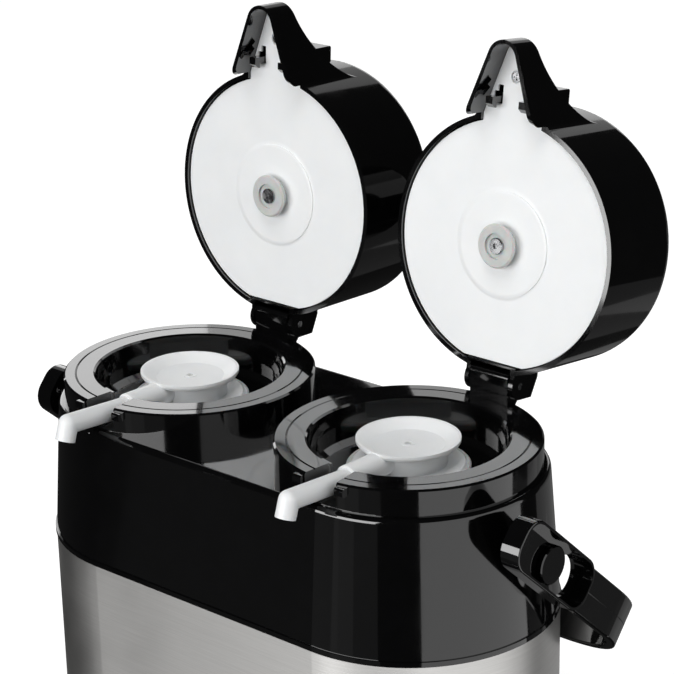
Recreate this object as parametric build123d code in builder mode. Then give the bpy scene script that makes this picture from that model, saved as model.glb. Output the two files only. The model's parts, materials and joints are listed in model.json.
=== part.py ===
"""Twin vacuum serving pot: two flasks in one steel body, two hinged pump lids, two lift-out spouts
and one bail.

Millimetres. +Z is up and the spouts point along -Y. The origin is on the floor, midway between the flasks.
Each lid is drawn shut at x = 0, then opened about its hinge and copied to both flasks.
"""

import os
from math import acos, atan2, degrees, hypot

from build123d import *

os.makedirs("parts", exist_ok=True)

# ---------------------------------------------------------------- body sizes
collar_spacing = 17.0  # between the two collars
foot_height = 3.0
base_height = 15.0  # moulded base ring, above the feet
base_floor = 4.0
shell_height = 189.5
shell_wall = 0.8
shoulder_height = 78.0
shoulder_taper = 5.8  # how much the shoulder widens down to the steel shell
deck_margin = 3.5  # deck outside the collar
shoulder_wall = 2.6
shoulder_edge = 3.0  # rounding of the deck's edge
bead_height = 3.0
bead_proud = 0.6
lip_length = 8.0  # lips that hold the steel shell at both ends
fit_gap = 0.1  # between pieces of one body that are assembled into each other
move_gap = 0.4  # between pieces that move past each other

# ---------------------------------------------------------------- collar and well
collar_radius = 70.0
collar_rise = 14.5  # ring top above the deck
collar_wall = 2.4
ring_width = 17.5
well_taper = 2.5
well_depth = 21.0
well_wall = 2.4
outlet_radius = 24.0  # hole in the well floor, above the flask's mouth
outlet_drop = 12.0
seat_rise = 1.2  # seat of the spout's gasket, above the well floor
groove_inset = 6.8  # groove inside the ring's edge
groove_width = 1.2
groove_depth = 1.0
notch_gap = 3.1  # each side of the spout
notch_flare = 5.0  # how much wider the notch is where it leaves the ring
notch_depth = 13.2
lug_width = 5.5
lug_proud = 1.7
lug_height = 4.5
lug_below_ring = 1.5

# ---------------------------------------------------------------- hinge
hinge_behind = 5.0  # hinge axis behind the ring's edge
hinge_above = 6.9  # hinge axis above the ring top
open_angles = {"left": 93.3, "right": 97.5}
pin_radius = 2.0
pin_gap = 0.05
tower_width = 25.0
tower_front = 7.0  # tower face in front of the hinge axis
tower_top = 7.4
tower_back = 5.4
tower_round = 2.6
cheek_wall = 2.8
cheek_radius = 7.6
pocket_gap = 0.7  # each side of the tower
pocket_front = 9.65  # pocket wall in front of the hinge axis
pocket_top = 10.1  # pocket ceiling above the hinge axis
pocket_wall = 1.5

# ---------------------------------------------------------------- lid
lid_inset = 0.2  # lid inside the collar's edge
lid_height = 58.0
lid_wall = 2.6
lid_top_round = 6.0
rim_wall = 3.2
lid_seam = 0.3  # shut lid above the ring
plate_recess = 1.8
plate_wall = 2.0
plate_gap = 0.15  # plate to the hinge pocket
plateau_radius = 28.8
plateau_step = 0.6
button_radius = 33.0
button_travel = 22.0
button_proud = 4.0
button_wall = 2.4
bellows_gap = 3.6  # bellows inside the button's skirt
bellows_folds = 6
bellows_depth = 4.5  # radial depth of a fold
bellows_wall = 1.2
spring_radius = 11.0
spring_wire = 0.9
spring_turns = 6.0

# ---------------------------------------------------------------- beak and latch
beak_length = 39.3  # beak in front of the collar
beak_round = 10.0
beak_root_width = 43.0
beak_flare = 3.7  # each side, 10 mm further back than the root
beak_blend = 5.0  # hollow rounding where the beak meets the drum
beak_wall = 2.0
beak_nose = 6.3  # height of the beak's nose above the lid's rim
beak_top = 50.0  # height its curve aims for at the drum
beak_drop = 11.5  # beak skirt below the ring top
beak_corner = 5.0  # rounding of the skirt's lower back corner
beak_gap = 0.6  # skirt to the collar
tongue_wall = 1.2
tongue_pad = 2.4  # thickness around the tongue screw
slot_gap = 0.6  # hooks to their slots in the plate's tongue
slot_length = 3.4  # narrow part of a slot, beyond the hook
slot_narrow = 3.4
tongue_screw_behind = 20.2  # tongue screw behind the beak's tip
tongue_screw_radius = 1.3
tongue_head_radius = 2.9
tongue_head_height = 1.1
tongue_recess_radius = 3.6
latch_offset = 5.5  # latch pin in front of the collar
latch_above = 15.0  # latch pin above the ring top
latch_pin_radius = 1.2
latch_arm = 3.4
hook_width = 4.4
hook_gap = 0.5  # hook to the lug in front of it
hook_spout_gap = 3.0
hook_below_ring = 6.0
tab_width = 20.0
tab_thick = 9.6
tab_ahead = 1.5  # middle of the tab in front of the pin
tab_top = 37.5

# ---------------------------------------------------------------- valve under the lid
seat_radius = 12.0
seat_reach = 4.4  # seat face below the ring top
seat_ring_radius = 7.0
valve_screw_radius = 4.4

# ---------------------------------------------------------------- lift-out spout
cap_radius = 27.4
cap_below_ring = 1.0
cap_wall = 1.6
cap_dish = 4.0
cap_floor_radius = 19.0
cap_hole = 1.8
stem_radius = 20.5
spigot_radius = 6.0
disc_margin = 8.0  # disc outside the plug
disc_below_ring = 14.7
disc_wall = 3.0
gasket_margin = 2.5  # gasket outside the disc
gasket_thick = 2.0
gasket_lip = 2.2  # lip of the gasket around the disc
plug_gap = 2.0
plug_length = 14.0
plug_wall = 2.0
spigot_length = 16.0
spout_radius = 5.4
spout_bore = 3.2
spout_root_below_ring = 7.3  # middle of the spout where it enters the notch
spout_bend_below_ring = 3.9
spout_lip_below_ring = 12.5
spout_lean = 3.0  # how far the downturned end leans outward
spout_hood_gap = 9.4  # spout's bend to the beak
horn_radius = 6.8  # thicker root of the spout, inside the well
horn_below_ring = 8.5
horn_well_gap = 2.7  # end of the horn to the rim of the well
tube_radius = 4.5
tube_bore = 3.2
tube_floor_gap = 4.0

# ---------------------------------------------------------------- vacuum flask
flask_room = 14.3  # flask inside the steel shell's outside
flask_base = 27.0  # underside of the glass, above the floor
flask_round = 16.0
glass_wall = 1.6
vacuum_gap = 4.5
mouth_gap = 0.6
neck_gasket_height = 6.0
cradle_radius = 42.0
cradle_wall = 3.0
cushion_height = 3.0
seal_tip_radius = 3.0

# ---------------------------------------------------------------- bail handle
pivot_below_ring = 46.8
bail_rest_gap = 0.8  # crossbar to the back it leans on
bail_reach = 124.0  # pivot to the outside of the crossbar
bail_bend = 56.0
bail_width = 25.0
bail_thick = 5.0
bail_edge = 1.2
bail_slide = 4.5  # the loose bail stands to the right of the middle
bail_sag = 0.6  # and hangs below the studs' axis
bail_line = 0.4  # fine groove along the middle of the strap
hub_gap = 6.2  # hub to the end of the body, with the bail in the middle
hub_depth = 11.0
hub_floor = 2.5
hub_wall = 1.8
hub_width = 28.0
hub_ahead = 42.0  # hub length on the far side of the pivot
hub_behind = 33.0  # hub length towards the crossbar
hub_round = 11.0
peg_radius = 5.0
peg_length = 4.2
peg_ahead = 30.0  # peg on the hub's inside, on the far side of the pivot
stud_radius = 5.9
stud_head_radius = 10.3
stud_head_thick = 3.2
stud_collar_radius = 9.0
stud_gap = 0.4  # stud to the keyhole
keyhole_offset = 16.0

# ---------------------------------------------------------------- feet and screws
foot_radius = 9.0
foot_inset = 22.0
screw_radius = 1.7
screw_head_radius = 3.4
screw_head_height = 2.0

screw_circle = 32.0

# ---------------------------------------------------------------- what follows from them
flask_pitch = 2 * collar_radius + collar_spacing  # between the two flask axes
shoulder_top_radius = collar_radius + deck_margin
shell_radius = shoulder_top_radius + shoulder_taper  # at each rounded end
base_bottom = foot_height
shell_bottom = base_bottom + base_height
parting = shell_bottom + shell_height
deck = parting + shoulder_height
ring_top = deck + collar_rise
well_floor = ring_top - well_depth
well_radius = collar_radius - ring_width
well_floor_radius = well_radius - well_taper
groove_radius = collar_radius - groove_inset
notch_width = 2 * (spout_radius + notch_gap)
hinge_y = collar_radius + hinge_behind
hinge_z = ring_top + hinge_above
lid_bottom = ring_top + lid_seam
lid_top = lid_bottom + lid_height
lid_radius = collar_radius - lid_inset
plate_chord = hinge_y - pocket_front - pocket_wall - plate_gap
bellows_radius = button_radius - button_wall - bellows_gap
beak_tip = collar_radius + beak_length
hook_inner = spout_radius + hook_spout_gap
hook_outer = hook_inner + hook_width
latch_ahead = collar_radius + latch_offset
hook_reach = latch_offset - lug_proud - hook_gap
tongue_screw_at = beak_tip - tongue_screw_behind
spout_bend = beak_tip - beak_wall - spout_radius - spout_hood_gap
horn_reach = well_radius - horn_well_gap
plug_radius = outlet_radius - plug_gap
disc_radius = plug_radius + disc_margin
gasket_radius = disc_radius + gasket_margin
mouth_radius = outlet_radius + well_wall + mouth_gap
flask_radius = shell_radius - flask_room
pivot_z = ring_top - pivot_below_ring
bail_z = pivot_z - bail_sag
pitch_sides = {"left": -flask_pitch / 2, "right": flask_pitch / 2}
wall_slope = shoulder_taper / shoulder_height
body_end_x = flask_pitch / 2 + shoulder_top_radius + wall_slope * (deck - pivot_z)
hub_inner = body_end_x + hub_gap
hub_face = hub_inner + hub_depth
# The crossbar's lower inner edge rests against the steel shell. That sets how low the bail hangs.
bar_inner = bail_reach - bail_thick
bar_diagonal = hypot(bar_inner, bail_width / 2)
bail_angle = degrees(acos((shell_radius + bail_rest_gap) / bar_diagonal) - atan2(bail_width / 2, bar_inner))


def on_drum(point):
    """Whether a point lies on the lid's round outside."""
    return abs(hypot(point.X, point.Y) - lid_radius) < 0.01


def lid_opened(piece, side):
    """The piece of a shut lid at x = 0, opened about the hinge and moved over the flask of that side."""
    to_hinge = Pos(pitch_sides[side], hinge_y, hinge_z)
    from_hinge = Pos(0, -hinge_y, -hinge_z)
    return to_hinge * Rot(-open_angles[side], 0, 0) * from_hinge * piece.part


def write(solid, name):
    """One STEP file, whose name is the piece's name."""
    solid.label = name
    export_step(solid, f"parts/{name}.step")


def write_sides(piece, name):
    """A piece of the body, drawn at x = 0, written for the left and the right flask."""
    for side, flask_x in pitch_sides.items():
        write(Pos(flask_x, 0, 0) * piece.part, f"{name}_{side}")


def write_lid_sides(piece, name):
    """A piece of the lid, drawn shut at x = 0, written opened for the left and the right flask."""
    for side in pitch_sides:
        write(lid_opened(piece, side), f"{name}_{side}")


# ================================================================ body
# The body is a stadium in plan: two half circles about the flask axes, joined by straight sides.

with BuildPart() as steel_shell:
    with BuildSketch(Plane.XY.offset(shell_bottom)):
        SlotCenterToCenter(flask_pitch, 2 * shell_radius)
        SlotCenterToCenter(flask_pitch, 2 * (shell_radius - shell_wall), mode=Mode.SUBTRACT)
    extrude(amount=shell_height)
write(steel_shell.part, "steel_shell")

lip_radius = shell_radius - shell_wall - fit_gap
with BuildPart() as shoulder:
    with BuildSketch(Plane.XY.offset(parting)):
        SlotCenterToCenter(flask_pitch, 2 * shell_radius)
    with BuildSketch(Plane.XY.offset(deck)):
        SlotCenterToCenter(flask_pitch, 2 * shoulder_top_radius)
    loft()
    deck_edges = shoulder.faces().sort_by(Axis.Z)[-1].edges()
    fillet(deck_edges, shoulder_edge)
    with BuildSketch(Plane.XY.offset(parting)):
        SlotCenterToCenter(flask_pitch, 2 * (shell_radius + bead_proud))
    extrude(amount=bead_height)
    bead_edges = shoulder.faces().sort_by(Axis.Z)[0].edges()
    chamfer(bead_edges, bead_proud / 2)
    with BuildSketch(Plane.XY.offset(parting - lip_length)):
        SlotCenterToCenter(flask_pitch, 2 * lip_radius)
    extrude(amount=lip_length)
    with BuildSketch(Plane.XY.offset(parting - lip_length)):
        SlotCenterToCenter(flask_pitch, 2 * (lip_radius - shoulder_wall))
    extrude(amount=lip_length, mode=Mode.SUBTRACT)
    with BuildSketch(Plane.XY.offset(parting)):
        SlotCenterToCenter(flask_pitch, 2 * (lip_radius - shoulder_wall))
    with BuildSketch(Plane.XY.offset(deck - shoulder_wall)):
        SlotCenterToCenter(flask_pitch, 2 * (shoulder_top_radius - shoulder_wall))
    loft(mode=Mode.SUBTRACT)
    with BuildSketch(Plane.XY.offset(deck)):
        with Locations((-flask_pitch / 2, 0), (flask_pitch / 2, 0)):
            Circle(collar_radius - collar_wall - fit_gap)
    extrude(amount=-2 * shoulder_wall, mode=Mode.SUBTRACT)
    with BuildSketch(Plane.YZ):
        with Locations((0, pivot_z)):
            Circle(stud_radius + fit_gap)
    extrude(amount=hub_face, both=True, mode=Mode.SUBTRACT)
write(shoulder.part, "shoulder")

foot_x = flask_pitch / 2
foot_y = shell_radius - foot_inset
screw_spots = [(0, -screw_circle), (0, screw_circle)]
base_top = base_bottom + base_floor

with BuildPart() as base_cover:
    with BuildSketch(Plane.XY.offset(base_bottom)):
        SlotCenterToCenter(flask_pitch, 2 * shell_radius)
    extrude(amount=base_height)
    fillet(base_cover.faces().sort_by(Axis.Z)[0].edges(), 1.5)
    with BuildSketch(Plane.XY.offset(shell_bottom)):
        SlotCenterToCenter(flask_pitch, 2 * lip_radius)
    extrude(amount=lip_length)
    with BuildSketch(Plane.XY.offset(base_top)):
        SlotCenterToCenter(flask_pitch, 2 * (lip_radius - shoulder_wall))
    extrude(amount=base_height + lip_length, mode=Mode.SUBTRACT)
    for flask_x in pitch_sides.values():
        with BuildSketch(Plane.XY.offset(base_bottom)):
            with Locations(*[(flask_x + x, y) for x, y in screw_spots]):
                Circle(screw_radius + fit_gap)
        extrude(amount=base_floor, mode=Mode.SUBTRACT)
        with BuildSketch(Plane.XY.offset(base_bottom)):
            with Locations(*[(flask_x + x, y) for x, y in screw_spots]):
                Circle(screw_head_radius + fit_gap)
        extrude(amount=screw_head_height, mode=Mode.SUBTRACT)
write(base_cover.part, "base_cover")

with BuildPart() as foot:
    with BuildSketch():
        Circle(foot_radius)
    extrude(amount=foot_height)
    chamfer(foot.faces().sort_by(Axis.Z)[0].edges(), 0.8)
write(foot.part, "foot_middle")
for end, foot_at in {"left": -foot_x, "right": foot_x}.items():
    write(Pos(foot_at, -foot_y, 0) * foot.part, f"foot_front_{end}")
    write(Pos(foot_at, foot_y, 0) * foot.part, f"foot_back_{end}")

# ================================================================ flask
# The glass is an inner bottle whose rim is fused to the neck of an outer one. The space between them is a
# vacuum, and opens only through the bore of the outer bottle's sealed tip.

flask_top = well_floor - well_wall - neck_gasket_height * 2
neck_radius = mouth_radius + 2 * glass_wall + vacuum_gap
neck_bottom = flask_top - 14.0
liner_inset = glass_wall + vacuum_gap


def bottle(layers):
    """A turned bottle. Each layer is its distance inside the flask's outside, its top and its mode."""
    with BuildPart() as walls:
        for inset, top, layer_mode in layers:
            with BuildSketch(Plane.XZ):
                with BuildLine():
                    FilletPolyline(
                        (0, flask_base + inset),
                        (flask_radius - inset, flask_base + inset),
                        (flask_radius - inset, neck_bottom - 24.0),
                        (neck_radius - inset, neck_bottom - inset / 2),
                        (neck_radius - inset, top),
                        radius=flask_round - inset,
                    )
                    Line((neck_radius - inset, top), (0, top))
                    Line((0, top), (0, flask_base + inset))
                make_face()
            revolve(axis=Axis.Z, mode=layer_mode)
    return walls.part


with BuildPart() as glass_flask:
    add(bottle([(0.0, flask_top - glass_wall, Mode.ADD), (glass_wall, flask_top, Mode.SUBTRACT)]))
    with BuildSketch(Plane.XY.offset(base_top + 4.0)):
        Circle(seal_tip_radius)
    extrude(amount=flask_base + glass_wall - base_top - 4.0)
    with BuildSketch(Plane.XY.offset(base_top + 4.0)):
        Circle(seal_tip_radius - glass_wall / 2)
    extrude(amount=flask_base + glass_wall - base_top, mode=Mode.SUBTRACT)
write_sides(glass_flask, "glass_flask")

with BuildPart() as flask_liner:
    liner_hollow = (liner_inset + glass_wall, flask_top + 1.0, Mode.SUBTRACT)
    add(bottle([(liner_inset, flask_top, Mode.ADD), liner_hollow]))
    with BuildSketch(Plane.XY.offset(flask_top - glass_wall)):
        Circle(neck_radius)
        Circle(neck_radius - liner_inset - glass_wall, mode=Mode.SUBTRACT)
    extrude(amount=glass_wall)
write_sides(flask_liner, "flask_liner")

cushion_bottom = flask_base - cushion_height
with BuildPart() as cradle:
    with BuildSketch(Plane.XY.offset(base_top)):
        Circle(cradle_radius)
        Circle(seal_tip_radius + 4.0, mode=Mode.SUBTRACT)
    extrude(amount=cradle_wall)
    with BuildSketch(Plane.XY.offset(base_top)):
        Circle(cradle_radius - cradle_wall)
        Circle(cradle_radius - 2 * cradle_wall, mode=Mode.SUBTRACT)
    extrude(amount=cushion_bottom - base_top)
    with BuildSketch(Plane.XY.offset(base_top)):
        with PolarLocations(screw_circle, 6, start_angle=30):
            Circle(cradle_radius - cradle_wall - screw_circle - 2.0)
    extrude(amount=cushion_bottom - base_top)
    with BuildSketch(Plane.XY.offset(base_top)):
        with Locations(*screw_spots):
            Circle(screw_radius + pin_gap)
    extrude(amount=cushion_bottom - base_top, mode=Mode.SUBTRACT)
write_sides(cradle, "flask_cradle")

with BuildPart() as cushion:
    with BuildSketch(Plane.XY.offset(cushion_bottom)):
        Circle(cradle_radius - 1.0)
        Circle(cradle_radius - 3 * cradle_wall, mode=Mode.SUBTRACT)
    extrude(amount=cushion_height)
write_sides(cushion, "flask_cushion")

with BuildPart() as cradle_screw:
    with BuildSketch(Plane.XY.offset(base_bottom)):
        Circle(screw_head_radius)
    extrude(amount=screw_head_height)
    with BuildSketch(Plane.XY.offset(base_bottom)):
        Circle(screw_radius)
    extrude(amount=cushion_bottom - base_bottom - 3.0)
    with BuildSketch(Plane.XY.offset(base_bottom)):
        Rectangle(0.8 * screw_head_radius * 1.6, 0.8)
        Rectangle(0.8, 0.8 * screw_head_radius * 1.6)
    extrude(amount=screw_head_height / 2, mode=Mode.SUBTRACT)
for side, flask_x in pitch_sides.items():
    write(Pos(flask_x, -screw_circle, 0) * cradle_screw.part, f"cradle_screw_front_{side}")
    write(Pos(flask_x, screw_circle, 0) * cradle_screw.part, f"cradle_screw_back_{side}")

gasket_top = well_floor - well_wall
with BuildPart() as neck_gasket:
    with BuildSketch(Plane.XY.offset(flask_top)):
        Circle(neck_radius - 0.5)
        Circle(outlet_radius + well_wall + fit_gap, mode=Mode.SUBTRACT)
    extrude(amount=gasket_top - flask_top)
    gasket_rims = neck_gasket.edges().filter_by(GeomType.CIRCLE).sort_by(Axis.Z)
    outer_rims = gasket_rims.filter_by(lambda edge: edge.radius > mouth_radius + 2.0)
    chamfer(outer_rims, 1.2)
write_sides(neck_gasket, "neck_gasket")

# ================================================================ collar
# The ring the lid shuts on, the well the spout sits in, the notch the spout leaves by and the hinge tower.

notch_floor = ring_top - notch_depth
solid_front = notch_width / 2 + 8.0  # half width of the solid block around the notch
with BuildPart() as collar:
    with BuildSketch(Plane.XZ):
        with BuildLine():
            Polyline(
                (outlet_radius, well_floor - well_wall - outlet_drop),
                (outlet_radius, well_floor + seat_rise),
                (gasket_radius - 0.5, well_floor + seat_rise),
                (gasket_radius + 0.5, well_floor),
                (well_floor_radius - 3.0, well_floor),
                (well_floor_radius, well_floor + 3.0),
                (well_radius, ring_top - 1.0),
                (well_radius + 1.0, ring_top),
                (collar_radius - 1.0, ring_top),
                (collar_radius, ring_top - 1.0),
                (collar_radius, deck),
                (collar_radius - collar_wall - 2 * fit_gap, deck),
                (collar_radius - collar_wall - 2 * fit_gap, deck - 5.0),
                (collar_radius - 2 * collar_wall, deck - 5.0),
                (collar_radius - 2 * collar_wall, ring_top - collar_wall),
                (well_radius + well_wall, ring_top - collar_wall),
                (well_floor_radius + well_wall, well_floor - well_wall + 3.0),
                (well_floor_radius - 3.0 + well_wall, well_floor - well_wall),
                (outlet_radius + well_wall, well_floor - well_wall),
                (outlet_radius + well_wall, well_floor - well_wall - outlet_drop),
                close=True,
            )
        make_face()
    revolve(axis=Axis.Z)
    with BuildSketch(Plane.XY.offset(deck)):
        with Locations((0, -(well_radius + collar_radius) / 2)):
            Rectangle(2 * solid_front, collar_radius - well_radius + 8.0)
        Circle(collar_radius - 1.0, mode=Mode.INTERSECT)
        Circle(well_floor_radius + 1.0, mode=Mode.SUBTRACT)
    extrude(amount=collar_rise - 1.0)
    with BuildSketch(Plane.XZ):
        with BuildLine():
            Polyline(
                (groove_radius - groove_width / 2, ring_top),
                (groove_radius + groove_width / 2, ring_top),
                (groove_radius, ring_top - groove_depth),
                close=True,
            )
        make_face()
    revolve(axis=Axis.Z, mode=Mode.SUBTRACT)
    with BuildSketch(Plane.XY.offset(notch_floor)):
        with BuildLine():
            Polyline(
                (-notch_width / 2, -well_floor_radius + 4.0),
                (-notch_width / 2, -well_radius),
                (-notch_width / 2 - notch_flare / 2, -collar_radius - 6.0),
                (notch_width / 2 + notch_flare / 2, -collar_radius - 6.0),
                (notch_width / 2, -well_radius),
                (notch_width / 2, -well_floor_radius + 4.0),
                close=True,
            )
        make_face()
    extrude(amount=notch_depth + 1.0, mode=Mode.SUBTRACT)
    lug_x = notch_width / 2 + notch_flare / 2 + lug_width / 2
    lug_y = -collar_radius - lug_proud + 3.5
    with BuildSketch(Plane.XY.offset(ring_top - lug_below_ring - lug_height)):
        with Locations((-lug_x, lug_y), (lug_x, lug_y)):
            Rectangle(lug_width, 7.0)
    extrude(amount=lug_height)
    lug_faces = collar.faces().filter_by(Axis.Y).sort_by(Axis.Y)[:2]
    chamfer(lug_faces.edges().filter_by(Axis.X), 0.8)
    with BuildSketch(Plane.YZ):
        with BuildLine():
            Polyline(
                (hinge_y - tower_front, ring_top - 3.0),
                (hinge_y - tower_front, hinge_z + tower_top),
                (hinge_y + tower_back, hinge_z + tower_top),
                (hinge_y + tower_back, hinge_z - 6.0),
                (collar_radius - 1.0, deck + 3.0),
                (collar_radius - 5.0, deck + 3.0),
                close=True,
            )
        make_face()
    extrude(amount=tower_width / 2, both=True)
    tower_edges = collar.faces().sort_by(Axis.Z)[-1].edges().filter_by(Axis.X)
    fillet(tower_edges, tower_round)
    with BuildSketch(Plane.YZ):
        with Locations((hinge_y, hinge_z)):
            Circle(pin_radius + pin_gap)
    extrude(amount=tower_width, both=True, mode=Mode.SUBTRACT)
write_sides(collar, "collar")

with BuildPart() as hinge_pin:
    with BuildSketch(Plane.YZ):
        with Locations((hinge_y, hinge_z)):
            Circle(pin_radius)
    extrude(amount=tower_width / 2 + pocket_gap + cheek_wall - 0.3, both=True)
write_sides(hinge_pin, "hinge_pin")

# ================================================================ lid
# A hollow drum with a beak that hoods the spout. It is open at the bottom, where the white plate closes it.

pocket_half = tower_width / 2 + pocket_gap
cheek_outer = pocket_half + cheek_wall
beak_rise = beak_top - beak_nose
beak_profile = [
    (-beak_tip - 1.0, lid_bottom + beak_nose - 1.1),
    (-beak_tip + 6.0, lid_bottom + beak_nose),
    (-beak_tip + 0.52 * beak_length, lid_bottom + beak_nose + 0.15 * beak_rise),
    (-beak_tip + 0.93 * beak_length, lid_bottom + beak_nose + 0.5 * beak_rise),
    (-beak_tip + 1.17 * beak_length, lid_bottom + beak_nose + 0.92 * beak_rise),
]
beak_back = -0.3 * beak_tip
hollow_profile = [(y + beak_wall / 2, z - beak_wall) for y, z in beak_profile]
with BuildPart() as beak:
    with BuildSketch(Plane.XY.offset(ring_top - beak_drop)):
        with Locations((0, -beak_tip + beak_round)):
            Circle(beak_round)
        with Locations((0, -lid_radius + 20.0)):
            Rectangle(beak_root_width + 2 * beak_flare, 20.0)
        make_hull()
    extrude(amount=lid_height + beak_drop)
    with BuildSketch(Plane.YZ):
        with BuildLine():
            Spline(*beak_profile)
            Polyline(
                beak_profile[-1],
                (-0.5 * beak_tip, lid_top - 1.0),
                (beak_back, lid_top - 1.0),
                (beak_back, ring_top - beak_drop - 1.0),
                (-beak_tip - 1.0, ring_top - beak_drop - 1.0),
                beak_profile[0],
            )
        make_face()
    extrude(amount=beak_root_width, both=True, mode=Mode.INTERSECT)

with BuildPart() as beak_hollow:
    with BuildSketch(Plane.XY.offset(ring_top - beak_drop - 1.0)):
        with Locations((0, -beak_tip + beak_round)):
            Circle(beak_round - beak_wall)
        with Locations((0, -lid_radius + 12.0)):
            Rectangle(beak_root_width - 2 * beak_wall, 20.0)
        make_hull()
    extrude(amount=lid_height + beak_drop)
    with BuildSketch(Plane.YZ):
        with BuildLine():
            Spline(*hollow_profile)
            Polyline(
                hollow_profile[-1],
                (-0.5 * beak_tip, lid_top - 2 * lid_wall),
                (beak_back, lid_top - 2 * lid_wall),
                (beak_back, ring_top - beak_drop - 2.0),
                (hollow_profile[0][0], ring_top - beak_drop - 2.0),
                hollow_profile[0],
            )
        make_face()
    extrude(amount=beak_root_width, both=True, mode=Mode.INTERSECT)

plate_bottom = lid_bottom + plate_recess
plate_top = plate_bottom + plate_wall
skirt_radius = collar_radius + beak_gap
skirt_bottom = ring_top - beak_drop
latch_y = -latch_ahead
latch_z = ring_top + latch_above
with BuildPart() as lid_shell:
    with BuildSketch(Plane.XY.offset(lid_bottom)):
        Circle(lid_radius)
    extrude(amount=lid_height)
    fillet(lid_shell.faces().sort_by(Axis.Z)[-1].edges(), lid_top_round)
    add(beak.part)
    drum_edges = lid_shell.edges().filter_by(lambda edge: on_drum(edge.start_point()))
    seams = drum_edges.filter_by(lambda edge: on_drum(edge.end_point()) and edge.center().Y < 0)
    seam_top = ring_top + beak_top
    fillet(seams.filter_by(lambda edge: lid_bottom + 1.0 < edge.center().Z < seam_top), beak_blend)
    with BuildSketch(Plane.XZ):
        with BuildLine():
            Polyline(
                (skirt_radius, skirt_bottom + beak_corner),
                (skirt_radius, lid_bottom),
                (0, lid_bottom),
                (0, skirt_bottom - 1.0),
                (skirt_radius + beak_corner, skirt_bottom - 1.0),
                (skirt_radius + beak_corner, skirt_bottom),
            )
            CenterArc((skirt_radius + beak_corner, skirt_bottom + beak_corner), beak_corner, 180, 90)
        make_face()
    revolve(axis=Axis.Z, mode=Mode.SUBTRACT)
    with BuildSketch(Plane.XY.offset(lid_bottom)):
        Circle(lid_radius - rim_wall)
    extrude(amount=plate_recess + plate_wall, mode=Mode.SUBTRACT)
    with BuildSketch(Plane.XY.offset(lid_bottom)):
        Circle(lid_radius - lid_wall - lid_top_round / 2)
    extrude(amount=lid_height - lid_wall, mode=Mode.SUBTRACT)
    with BuildSketch(Plane.XY.offset(lid_bottom)):
        Circle(lid_radius - lid_wall)
    extrude(amount=lid_height - lid_top_round, mode=Mode.SUBTRACT)
    add(beak_hollow.part, mode=Mode.SUBTRACT)
    with BuildSketch(Plane.XY.offset(lid_top - 4 * lid_wall)):
        Circle(button_radius + move_gap + lid_wall)
    extrude(amount=3.5 * lid_wall)
    with BuildSketch(Plane.XY.offset(lid_top - 4 * lid_wall)):
        Circle(button_radius + move_gap)
    extrude(amount=4 * lid_wall + 1.0, mode=Mode.SUBTRACT)
    with BuildSketch(Plane.YZ):
        with BuildLine():
            Polyline(
                (hinge_y - 10.65, lid_bottom + 0.4),
                (hinge_y, lid_bottom + 0.4),
                (hinge_y + cheek_radius, hinge_z),
                (hinge_y + cheek_radius, hinge_z + 10.6),
                (hinge_y - 3.0, hinge_z + 15.1),
                (hinge_y - 10.65, hinge_z + 15.1),
                close=True,
            )
        make_face()
        with Locations((hinge_y, hinge_z)):
            Circle(cheek_radius)
    extrude(amount=cheek_outer, both=True)
    with BuildSketch(Plane.YZ):
        with BuildLine():
            Polyline(
                (hinge_y - pocket_front, lid_bottom - 5.0),
                (hinge_y - pocket_front, hinge_z + pocket_top),
                (hinge_y + 2 * cheek_radius, hinge_z + pocket_top),
                (hinge_y + 2 * cheek_radius, lid_bottom - 5.0),
                close=True,
            )
        make_face()
    extrude(amount=pocket_half, both=True, mode=Mode.SUBTRACT)
    with BuildSketch(Plane.YZ):
        with Locations((hinge_y, hinge_z)):
            Circle(pin_radius + pin_gap)
    extrude(amount=2 * tower_width, both=True, mode=Mode.SUBTRACT)
    with BuildSketch(Plane.YZ):
        with Locations((latch_y, latch_z)):
            Circle(latch_pin_radius + pin_gap)
    extrude(amount=beak_root_width / 2 - 3.5, both=True, mode=Mode.SUBTRACT)
    with BuildSketch(Plane.XY.offset(latch_z - 0.5)):
        with Locations((0, -latch_ahead - tab_ahead + 0.5)):
            Rectangle(tab_width + 2 * move_gap, tab_thick + 3.1)
    extrude(amount=lid_height - 20.0, mode=Mode.SUBTRACT)
    with BuildSketch(Plane.XY.offset(plate_bottom + tongue_pad)):
        with Locations((0, -tongue_screw_at)):
            Circle(tongue_screw_radius + 1.9)
    extrude(amount=5.2)
    with BuildSketch(Plane.XY.offset(plate_bottom)):
        with Locations((0, -tongue_screw_at)):
            Circle(tongue_screw_radius + pin_gap)
    extrude(amount=7.5, mode=Mode.SUBTRACT)
write_lid_sides(lid_shell, "lid_shell")

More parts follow.
